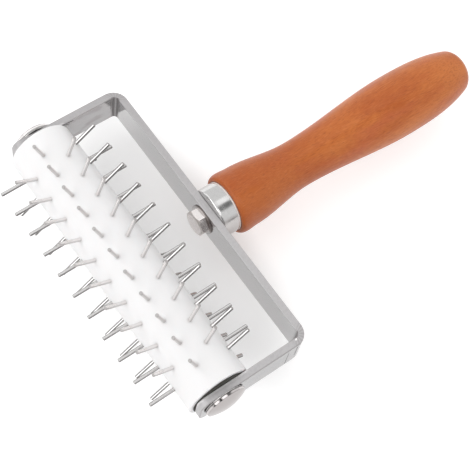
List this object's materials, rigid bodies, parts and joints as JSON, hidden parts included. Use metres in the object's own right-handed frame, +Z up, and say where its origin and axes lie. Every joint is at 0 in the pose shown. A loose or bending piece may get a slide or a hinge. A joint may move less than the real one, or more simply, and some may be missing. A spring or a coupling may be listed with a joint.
{
  "type": "dough docker",
  "caption": "Hand roller set with short blunt pins, spinning in a bent steel yoke on a turned wooden handle, for pricking rolled-out dough.",
  "frame": {"origin": "under the middle of the tool's length and width, on the level of the lowest pin tip", "axes": "+X along the roller's axis, +Y from the roller to the handle's end, +Z up out of the yoke's plane"},
  "size_m": [0.1328, 0.1908, 0.0451],
  "materials": {
    "wood": "clear lacquer, satin",
    "satin_steel": "satin",
    "polished_steel": "polished",
    "screw_steel": "plated, bright",
    "pin_steel": "bright drawn wire",
    "washer_plastic": "matt, dark fibre",
    "white_plastic": "smooth, satin"
  },
  "bodies": {
    "frame": {"handle": "wood", "ferrule": "polished_steel", "yoke": "satin_steel", "handle_screw": "screw_steel", "screw_washer": "screw_steel", "axle_rod": "screw_steel", "thrust_washers": "washer_plastic", "axle_caps": "polished_steel", "cap_grips": "screw_steel"},
    "pinned_roller": {"roller": "white_plastic", "pin_row_01": "pin_steel", "pin_row_02": "pin_steel", "pin_row_03": "pin_steel", "pin_row_04": "pin_steel", "pin_row_05": "pin_steel", "pin_row_06": "pin_steel", "pin_row_07": "pin_steel", "pin_row_08": "pin_steel", "pin_row_09": "pin_steel", "pin_row_10": "pin_steel"}
  },
  "joints": [
    {"name": "roller_spin", "type": "hinge", "parent": "frame", "child": "pinned_roller", "pos_m": [0, -0.07217, 0.02256], "axis": [1, 0, 0], "continuous": true}
  ]
}
